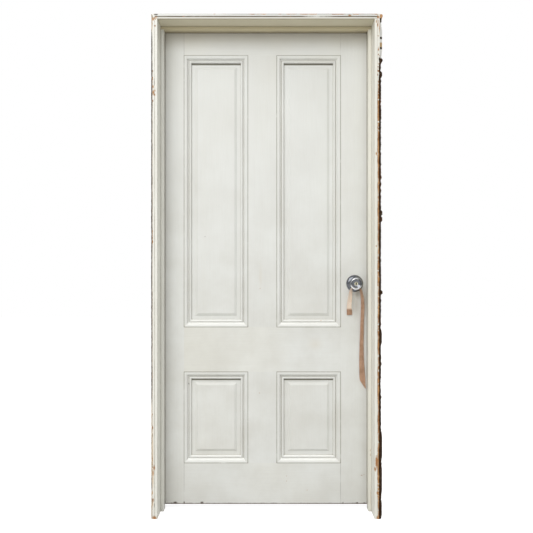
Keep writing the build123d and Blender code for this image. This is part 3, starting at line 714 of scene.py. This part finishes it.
def dress_frame():
    left_marks = [
        Mark(-451, 1728, 4.5, 12),
        Mark(-450, 1705, 7, 18),
        Mark(-444, 1713, 4, 7),
        Mark(-445, 1697, 4.5, 10),
        Mark(-452, 1672, 3, 8),
        Mark(-453, 366, 4, 12),
        Mark(-455, 238, 4, 26),
        Mark(-447, 205, 6, 18),
        Mark(-451, 184, 5, 20),
        Mark(-455, 105, 5, 14),
        Mark(-451, 76, 4, 14),
        Mark(-446, 5, 17, 13),
        Mark(-452, 1999, 10, 12),
        Mark(-446, 2003, 10, 6),
        Mark(-441, 2001, 6, 8),
        Mark(-444, 1972, 5, 7),
        Mark(-455, 1982, 3, 20),
    ]
    tan_strip = [
        Mark(-451.5, 160, 2.6, 62, 0.3, 0.75),
        Mark(-452, 62, 3.0, 34, 0.3, 0.8),
        Mark(-452.5, 255, 3.4, 235, 0.35, 0.55),
        Mark(-455, 1962, 2.4, 18),
    ]
    dark = [
        Mark(-447, 1745, 2.4, 24, 0.3, 0.75),
        Mark(-443, 2018, 9, 7, 0.3),
        Mark(-455, 2008, 4.5, 14, 0.3, 0.8),
        Mark(-446, 56, 1.8, 18, 0.3, 0.8),
        Mark(-455, 335, 3.5, 14, 0.3, 0.9),
        Mark(-455, 218, 3.5, 20, 0.3, 0.9),
        Mark(-455, 72, 4.0, 22, 0.3, 0.9),
    ]
    right_marks = [
        Mark(441, 1461, 5, 12),
        Mark(441, 1092, 4, 6),
        Mark(443, 228, 12, 48, 0.25),
        Mark(436, 200, 9, 14),
        Mark(445, 105, 5, 12),
        Mark(446, 2008, 13, 9),
        Mark(441, 1990, 3, 14),
        Mark(447, 1975, 4, 14),
        Mark(447, 6, 10, 12),
    ]
    brown = [
        Mark(453.5, 1964, 2.4, 44, 0.3, 0.9),
        Mark(450.8, 1880, 3.4, 18, 0.3, 0.8),
        Mark(449, 1990, 3, 14, 0.3, 0.7),
        Mark(450, 2004, 8, 5, 0.3, 0.8),
    ]
    assign(
        ["left_jamb"],
        painted(
            "left_jamb_paint", "Z", 1.0, left_marks,
            [((0.62, 0.43, 0.22), tan_strip), (OLD_STAIN_AND_SHADE, dark)],
            bare_edge=outer_wear(-1, 0.0, 0.0030, 0.60, 0.68),
            lines=[
                # The casing line is a stain, partly painted shade.
                (CASING_STAIN_AND_SHADE, upright_casing_line(-1, 0.55)),
                # Painted shade in the corner by the stop.
                (OLD_STAIN_AND_SHADE, corner_painted_shade),
                ((0.10, 0.08, 0.055), left_edge_dirt),
            ],
            cream=0.12,
        ),
    )
    assign(
        ["right_jamb"],
        painted(
            "right_jamb_paint", "Z", 2.0, right_marks, [(RAW_WOOD, brown)],
            bare_edge=outer_wear(1, 0.0052, 0.0088, 0.34, 0.62),
            # The casing line is a stain, partly painted shade; painted shade in the corner by the stop.
            lines=[(CASING_STAIN_AND_SHADE, upright_casing_line(1, 0.5)), (OLD_STAIN_AND_SHADE, corner_painted_shade)],
            cream=0.18,
            torn=torn_edge,
        ),
    )
    assign(
        ["head_jamb"],
        painted(
            "head_paint", "X", 3.0,
            [Mark(98, 2010, 5, 3), Mark(335, 2014, 12, 5), Mark(-330, 2010, 10, 2.5), Mark(-440, 2007, 9, 4)],
            [(OLD_STAIN_AND_SHADE, [Mark(-439, 2018, 11, 7, 0.3)])],
            bare_edge=head_top_wear,
            lines=[
                # The casing line is a stain, partly painted shade.
                ((0.10, 0.075, 0.035), head_casing_line),
                # Painted shade in the corner by the head stop.
                (OLD_STAIN_AND_SHADE, corner_painted_shade),
                (OLD_STAIN_AND_SHADE, head_top_line),
                # Painted shade on the head's lower front arris.
                (GRIME_AND_SHADE, head_arris_painted_shade),
            ],
            # Painted shade under the head, tinted yellow.
            yellow=0.55,
        ),
    )
    # Painted shade and dirt on the stops' inner faces by the leaf.
    back = [((0.12, 0.09, 0.055), stop_back_shade_and_dirt)]
    assign(["left_stop"], painted("left_stop_paint", "Z", 4.0, lines=back, cream=0.08, face=STOP_FRONT))
    scratches = [Mark(430, 252, 1.4, 8), Mark(430, 234, 1.6, 10), Mark(431, 60, 1.0, 60, 0.5, 0.6)]
    assign(["right_stop"], painted(
        "right_stop_paint", "Z", 5.0, scratches, lines=back, cream=0.24, face=STOP_FRONT))
    # The whole head stop is tinted dark yellow as painted shade.
    assign(["head_stop"], painted("head_stop_paint", "X", 6.0, lines=back, yellow=0.75))


def leaf_seams(low, high, strength):
    return [(STILE_SEAM, low, high, strength), (LOCK_SEAM, low, high, strength)]


def dress_leaf():
    small = [
        Mark(-25, 918, 2.2, 2.2),
        Mark(-27, 480.5, 3.5, 2.5),
        Mark(308, 311, 2.4, 5),
        Mark(86, 133, 2.4, 2.4),
        Mark(86, 112, 2.2, 2.2),
        Mark(172, 74, 2.6, 2.2),
        Mark(410, 139, 2.6, 2.4),
        Mark(400, 136, 7, 2.0),
        Mark(230, 784, 4, 2.4),
    ]
    chips = [
        Mark(-380, 20, 16, 11),
        Mark(-391, 17, 22, 8),
        Mark(-343, 21, 5.0, 10),
        Mark(-268, 20, 12, 11),
        Mark(322, 19, 4, 9),
        Mark(381, 19, 9, 9),
        Mark(412, 18, 10, 8),
    ]
    yellow = [Mark(205, 685, 34, 26, 0.9, 0.16), Mark(-23, 965, 9, 55, 0.9, 0.14)]
    # Dirt from hands round the knob, and painted shadow of the knob and the cloth below and to the right of
    # it.
    hand_dirt_and_shadow = [
        Mark(398, 905, 34, 70, 0.9, 0.20),
        Mark(381, 893, 15, 36, 0.8, 0.72),
        Mark(378, 848, 17, 60, 0.9, 0.58),
        Mark(415, 868, 9, 66, 0.8, 0.56),
    ]
    stains_and_shadows = [((0.55, 0.42, 0.22), yellow), ((0.30, 0.25, 0.18), hand_dirt_and_shadow), ((0.045, 0.022, 0.010), chips)]
    joint = (0.20, 0.18, 0.13)
    # Painted shade and dirt along the stops.
    lines = [
        # Painted shadow of the head under the head stop.
        (joint, moulding_joints), ((0.16, 0.13, 0.09), stop_shade_and_dirt), ((0.24, 0.19, 0.10), head_painted_shadow),
        ((0.07, 0.04, 0.025), leaf_foot),
    ]
    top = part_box("top_rail")
    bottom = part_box("bottom_rail")
    seams = leaf_seams(top[0].z, top[1].z, 0.5) + leaf_seams(bottom[0].z, bottom[1].z, 0.6)
    # The leaf's dirt amount is painted shade that grows towards the bottom.
    leaf_coat = {"plain": LEAF_PAINT, "face": LEAF_FRONT, "dirt": 0.20}
    upright = painted("stile_paint", "Z", 7.0, small, stains_and_shadows, seams, lines=lines, **leaf_coat)
    across = painted("rail_paint", "X", 8.0, small, stains_and_shadows, seams, lines=lines, **leaf_coat)
    assign(["hinge_stile", "lock_stile", "upper_muntin", "lower_muntin"], upright)
    assign(["top_rail", "lock_rail", "bottom_rail"], across)
    dark_dot = [((0.02, 0.015, 0.01), [Mark(-324, 518, 2.6, 6)])]
    # The mouldings under the panels get a painted highlight.
    moulding = painted(
        "moulding_paint", "Z", 9.0, [Mark(230, 784, 4, 2.4)], dark_dot,
        lines=[((0.93, 0.93, 0.90), lower_slopes_highlight), (joint, moulding_joints)],
        **leaf_coat,
    )
    dark_spot = [((0.03, 0.02, 0.012), [Mark(-256, 1135.6, 2.4, 2.4)])]
    # Painted shadow of the top mouldings on the panels.
    under_bead_shadow = [((0.10, 0.09, 0.055), panel_top_painted_shadow)]
    panels = painted("panel_paint", "Z", 10.0, (), dark_spot, lines=under_bead_shadow, **leaf_coat)
    for name in nodes:
        if name.endswith("_moulding"):
            assign([name], moulding)
        elif name.endswith("_panel"):
            assign([name], panels)


def dress_metal():
    bright = chrome("polished_chrome")
    plain = steel()
    hinge = hinge_metal()
    # Painted reflections on the knob and rose.
    assign(["front_knob", "rear_knob"], chrome("knob_chrome", knob_painted_reflection))
    assign(["front_rose", "rear_rose"], chrome("rose_chrome", rose_painted_reflection))
    assign(["turn_button"], bright)
    assign(["strike_plate", "latch_case", "latch_bolt"], bright)
    assign(["key_plug"], brass())
    assign(["strike_screws", "latch_screws", "lock_body"], plain)
    for name in nodes:
        if "hinge" in name and name != "hinge_stile":
            assign([name], hinge)


def mesh_object(name, mesh, material, body, smooth=True):
    piece = bpy.data.objects.new(name, mesh)
    bpy.context.scene.collection.objects.link(piece)
    mesh.materials.append(material)
    if smooth:
        for face in mesh.polygons:
            face.use_smooth = True
    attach(piece, body)
    return piece


class Lump:
    """A splintered place on a packing strip: its middle height, half length and reach, in millimetres."""

    def __init__(self, z, half, reach):
        self.z, self.half, self.reach = z, half, reach


def strip_reach(z, plain, rag, lumps, seed):
    """How far, in millimetres, the strip stands out from the jamb at height z."""
    slow = noise.noise(Vector((seed, z * 0.012, 0.0)))
    quick = noise.noise(Vector((seed + 7.0, z * 0.075, 0.0)))
    fine = noise.noise(Vector((seed + 3.0, z * 0.27, 0.0)))
    reach = plain + rag * (0.9 * slow + 1.3 * quick + 0.8 * fine)
    for lump in lumps:
        inside = 1.0 - abs(z - lump.z) / lump.half
        if inside > 0:
            share = min(1.0, inside * 2.2)
            reach = reach * (1 - share) + (lump.reach + 0.9 * fine) * share
    return max(reach, 0.8)


def skin(mesh, rows, closed):
    """Faces between neighbouring rows of points; a closed row joins its end to its start."""
    for under, over in zip(rows, rows[1:]):
        count = len(under)
        for index in range(count if closed else count - 1):
            after = (index + 1) % count
            mesh.faces.new((under[index], under[after], over[after], over[index]))


def mesh_data(mesh, name):
    bmesh.ops.recalc_face_normals(mesh, faces=mesh.faces)
    data = bpy.data.meshes.new(name)
    mesh.to_mesh(data)
    mesh.free()
    return data


def strip_ring(front, back, full, reach, z, seed):
    """Reach and depth, in millimetres, round one cross-section of a packing strip."""
    depths = [front, front, front, front + 2, front + 12, front + 30, front + 55, back - 2, back]
    shares = [0.0, 0.5, 0.86, 1.0, 1.0, 1.0, 1.0, 1.0, 0.0]
    ring = []
    for index, (depth, share) in enumerate(zip(depths, shares)):
        if 2 < index < 8:
            wobble = 1.6 * noise.noise(Vector((depth * 0.1, z * 0.06, seed)))
            out = min(full, max(0.6, reach + wobble * (index > 3)))
        else:
            out = reach * share
        notch = 0.0
        if 0 < index < 3:
            notch = 1.5 * abs(noise.noise(Vector((out * 0.4, z * 0.10, seed + 2.0))))
        ring.append((out, depth + notch))
    return ring


def ragged_strip(node, side, plain, rag, lumps, seed, material):
    """The packing strip with its torn outer edge, in place of the plain one."""
    low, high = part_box(node)
    inner = (CENTRE_X + side * JAMB_OUT) / MM
    full = (high.x - low.x) / MM + SPLINTER_PAST
    mesh = bmesh.new()
    rings = []
    for row in range(STRIP_ROWS + 1):
        z = TOP_Z / MM * row / STRIP_ROWS
        reach = min(full, strip_reach(z, plain, rag, lumps, seed))
        ring = []
        for out, depth in strip_ring(low.y / MM, high.y / MM, full, reach, z, seed):
            ring.append(mesh.verts.new(((inner + side * out) * MM, depth * MM, z * MM)))
        rings.append(ring)
    skin(mesh, rings, closed=True)
    mesh.faces.new(list(reversed(rings[0])))
    mesh.faces.new(rings[-1])
    data = mesh_data(mesh, node + "_rough")
    strip = mesh_object(node + "_rough", data, material, "frame", smooth=False)
    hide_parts(node)


def make_packing():
    wood = rough_wood()
    right = [
        Lump(2014, 9, 12.5),
        Lump(1996, 10, 8),
        Lump(1915, 74, 10.0),
        Lump(1837, 8, 12.5),
        Lump(1780, 14, 10.5),
        Lump(1224, 12, 11.5),
        Lump(1200, 12, 11),
        Lump(906, 9, 12.5),
        Lump(725, 34, 9.5),
        Lump(290, 70, 10.4),
        Lump(155, 75, 9.8),
        Lump(40, 44, 9.0),
    ]
    ragged_strip("right_packing", 1, 5.9, 2.3, right, 1.0, wood)
    ragged_strip("left_packing", -1, 4.7, 0.6, [], 5.0, old_edge_wood())


class Station:
    """One cross-section of the cloth strip, measured from the knob's axis and the leaf's face.

    turn is 0 where the strip lies flat to the door and 1 where it is wrapped round the neck.
    """

    def __init__(self, x, z, out, wide, turn=0.0):
        self.values = (x, z, out, wide, turn)


def neck_stations():
    """The strip bunched over the top of the neck."""
    found = []
    for degrees in (-8, 25, 60, 90, 120, 155, 188):
        angle = math.radians(degrees)
        found.append(Station(14.8 * math.cos(angle), 14.8 * math.sin(angle), 13.4, 6.4, 1.0))
    return found


def strip_stations():
    long_end = [
        Station(33.6, -423, 3.6, 24.2),
        Station(32.0, -394, 3.4, 23.8),
        Station(30.6, -370, 3.6, 22.6),
        Station(28.8, -320, 4.4, 19.6),
        Station(28.6, -258, 5.2, 17.0),
        Station(29.8, -196, 7.0, 15.2),
        Station(30.6, -152, 9.5, 14.8),
        Station(31.4, -112, 12.0, 14.8),
        Station(31.4, -88, 13.0, 14.2),
        Station(30.0, -60, 14.0, 13.2),
        Station(24.4, -32, 14.0, 11.0, 0.25),
        Station(17.5, -14, 13.6, 7.6, 0.8),
    ]
    short_end = [
        Station(-15.6, -13, 13.8, 7.6, 0.8),
        Station(-17.6, -28, 15.0, 12.5, 0.2),
        Station(-22.0, -60, 17.0, 17.6),
        Station(-25.6, -90, 19.5, 19.6),
        Station(-25.8, -104, 20.0, 21.0),
        Station(-24.4, -114, 15.0, 22.0),
        Station(-22.8, -131, 7.0, 22.4),
    ]
    return long_end + neck_stations() + short_end


def smooth_stations(stations, spacing):
    """Even rows along a Catmull-Rom curve through the stations."""
    keys = [Vector(station.values) for station in stations]
    rows = []
    for index in range(len(keys) - 1):
        before = keys[max(index - 1, 0)]
        start, end = keys[index], keys[index + 1]
        after = keys[min(index + 2, len(keys) - 1)]
        steps = max(1, round((end - start).length / spacing))
        for step in range(steps):
            t = step / steps
            rows.append(0.5 * (
                2 * start
                + (end - before) * t
                + (2 * before - 5 * start + 4 * end - after) * t * t
                + (3 * start - before - 3 * end + after) * t * t * t
            ))
    rows.append(keys[-1])
    return rows


def folded_section(flat_width, wide):
    """Across and behind for the points of a strip folded over itself until it is wide across."""
    layers = max(1, math.ceil(flat_width / max(wide, 1.0) - 0.02))
    gap = 1.25
    spots = []
    columns = 24
    for column in range(columns + 1):
        run = flat_width * column / columns
        layer = min(int(run / wide), layers - 1)
        inside = run - layer * wide
        across = inside if layer % 2 == 0 else wide - inside
        turned = 0.5 - 0.5 * math.cos(math.pi * min(1.0, inside / (0.35 * wide))) if layer else 0.0
        spots.append((across - wide / 2, gap * (layer - 1 + turned) if layer else 0.0))
    return spots


def strip_row(here, along, wide, turn, travelled):
    """The points of one row of the cloth; its long end is cut at a slant."""
    climbing = along.z > 0 or turn > 0.5 and here.x > 0
    flat_way = Vector((1, 0, 0)) if climbing else Vector((-1, 0, 0))
    width_way = flat_way.lerp(Vector((0, -1, 0)), turn)
    width_way = (width_way - along * width_way.dot(along)).normalized()
    normal = along.cross(width_way).normalized()
    end_share = max(0.0, 1.0 - travelled / 40.0)
    spots = []
    for across, depth in folded_section(CLOTH_WIDTH, wide):
        ruffle = 0.7 * noise.noise(Vector((travelled * 0.035, across * 0.09, 1.0))) * (1 - turn)
        spot = here + width_way * across + normal * (ruffle - depth)
        spot.z -= CLOTH_SLANT * end_share * (2 * across / CLOTH_WIDTH) * (along.z > 0)
        spots.append(spot)
    return spots


def make_tie_strip():
    """Limp strip of cloth, folded over itself where it is drawn together, over the knob's neck."""
    rows = smooth_stations(strip_stations(), 3.0)
    face = LEAF_FRONT / MM
    mesh = bmesh.new()
    grid = []
    travelled = 0.0
    for index, (x, z, out, wide, turn) in enumerate(rows):
        here = Vector((x, -out, z))
        ahead = rows[min(index + 1, len(rows) - 1)]
        behind = rows[max(index - 1, 0)]
        along = Vector((ahead[0] - behind[0], behind[2] - ahead[2], ahead[1] - behind[1])).normalized()
        if index:
            travelled += (here - last).length
        last = here
        line = []
        for spot in strip_row(here, along, wide, max(0.0, min(1.0, turn)), travelled):
            line.append(mesh.verts.new((KNOB.x + spot.x * MM, (face + spot.y) * MM, KNOB.z + spot.z * MM)))
        grid.append(line)
    skin(mesh, grid, closed=False)
    bmesh.ops.solidify(mesh, geom=list(mesh.faces), thickness=CLOTH_THICKNESS * MM)
    strip = mesh_object("cloth_strip", mesh_data(mesh, "cloth_strip"), cloth(), "leaf")
    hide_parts("tie_strip")


def make_camera():
    data = bpy.data.cameras.new("camera")
    data.sensor_width = SENSOR
    data.lens = FOCAL_PX / PHOTO_PX * SENSOR
    camera = bpy.data.objects.new("camera", data)
    bpy.context.scene.collection.objects.link(camera)
    camera.location = (CENTRE_X + CAMERA_SIDE, FRONT_Y - CAMERA_DISTANCE, CAMERA_HEIGHT)
    camera.rotation_euler = (math.radians(90), 0, 0)
    bpy.context.scene.camera = camera


def make_world():
    """White to the camera; a pale sky over a dimmer ground to the object."""
    world = bpy.data.worlds.new("world")
    bpy.context.scene.world = world
    world.use_nodes = True
    tree = world.node_tree
    tree.nodes.clear()
    coords = tree.nodes.new("ShaderNodeTexCoord")
    split = tree.nodes.new("ShaderNodeSeparateXYZ")
    tree.links.new(coords.outputs["Generated"], split.inputs[0])
    ramp = tree.nodes.new("ShaderNodeValToRGB")
    height = tree.nodes.new("ShaderNodeMapRange")
    height.inputs["From Min"].default_value = -1.0
    tree.links.new(split.outputs["Z"], height.inputs["Value"])
    tree.links.new(height.outputs["Result"], ramp.inputs["Fac"])
    stops = ramp.color_ramp.elements
    stops[0].position = 0.30
    stops[0].color = (0.30, 0.30, 0.28, 1)
    stops[1].position = 1.0
    stops[1].color = (3.8, 3.8, 3.8, 1)
    middle = stops.new(0.52)
    middle.color = (0.45, 0.45, 0.44, 1)
    high = stops.new(0.72)
    high.color = (0.85, 0.85, 0.85, 1)
    light = tree.nodes.new("ShaderNodeBackground")
    tree.links.new(ramp.outputs["Color"], light.inputs["Color"])
    light.inputs["Strength"].default_value = 0.62
    white = tree.nodes.new("ShaderNodeBackground")
    white.inputs["Color"].default_value = (1, 1, 1, 1)
    path = tree.nodes.new("ShaderNodeLightPath")
    mix = tree.nodes.new("ShaderNodeMixShader")
    tree.links.new(shows_white(tree, path), mix.inputs["Fac"])
    tree.links.new(light.outputs[0], mix.inputs[1])
    tree.links.new(white.outputs[0], mix.inputs[2])
    out = tree.nodes.new("ShaderNodeOutputWorld")
    tree.links.new(mix.outputs[0], out.inputs["Surface"])


def shows_white(tree, path):
    """1 for the rays that see the background: those of the camera, and those seen in metal or glass."""
    total = path.outputs["Is Camera Ray"]
    for name in ("Is Glossy Ray", "Is Transmission Ray"):
        node = tree.nodes.new("ShaderNodeMath")
        node.operation = "MAXIMUM"
        tree.links.new(total, node.inputs[0])
        tree.links.new(path.outputs[name], node.inputs[1])
        total = node.outputs[0]
    return total


def make_floor():
    """Pale floor that shows white, keeps the object's shadow and bounces only a little light."""
    graph = Graph("pale_floor")
    tone = graph.noise(2.0, 3.0, 0.5)
    plain = graph.add("ShaderNodeBsdfDiffuse")
    graph.put(plain.inputs["Color"], graph.mix(tone, (0.46, 0.46, 0.44), (0.42, 0.42, 0.40)))
    shaded = graph.add("ShaderNodeBsdfDiffuse")
    shaded.inputs["Color"].default_value = (0.3, 0.3, 0.3, 1)
    glow = graph.add("ShaderNodeEmission")
    glow.inputs["Color"].default_value = (1, 1, 1, 1)
    glow.inputs["Strength"].default_value = 0.86
    shown = graph.add("ShaderNodeAddShader")
    graph.put(shown.inputs[0], shaded.outputs[0])
    graph.put(shown.inputs[1], glow.outputs[0])
    mix = graph.add("ShaderNodeMixShader")
    graph.put(mix.inputs["Fac"], shows_white(graph.tree, graph.add("ShaderNodeLightPath")))
    graph.put(mix.inputs[1], plain.outputs[0])
    graph.put(mix.inputs[2], shown.outputs[0])
    material = graph.finish(mix.outputs[0])
    half = 9.0
    mesh = bpy.data.meshes.new("floor")
    corners = [(-half, -half, 0), (half, -half, 0), (half, half, 0), (-half, half, 0)]
    mesh.from_pydata(corners, [], [(0, 1, 2, 3)])
    mesh.materials.append(material)
    floor = bpy.data.objects.new("floor", mesh)
    bpy.context.scene.collection.objects.link(floor)


def make_light(name, place, target, size, power):
    data = bpy.data.lights.new(name, "AREA")
    data.shape = "SQUARE"
    data.size = size
    data.energy = power
    lamp = bpy.data.objects.new(name, data)
    bpy.context.scene.collection.objects.link(lamp)
    lamp.location = place
    aim = Vector(target) - Vector(place)
    lamp.rotation_euler = aim.to_track_quat("-Z", "Y").to_euler()


def make_lights():
    make_light("sky_panel", (-2.0, -5.0, 3.9), (0, 0, 0.9), 4.2, 182.0)


def main():
    bpy.context.scene.view_settings.view_transform = "Standard"
    make_camera()
    make_world()
    make_floor()
    make_lights()
    dress_frame()
    dress_leaf()
    dress_metal()
    make_packing()
    make_tie_strip()


main()
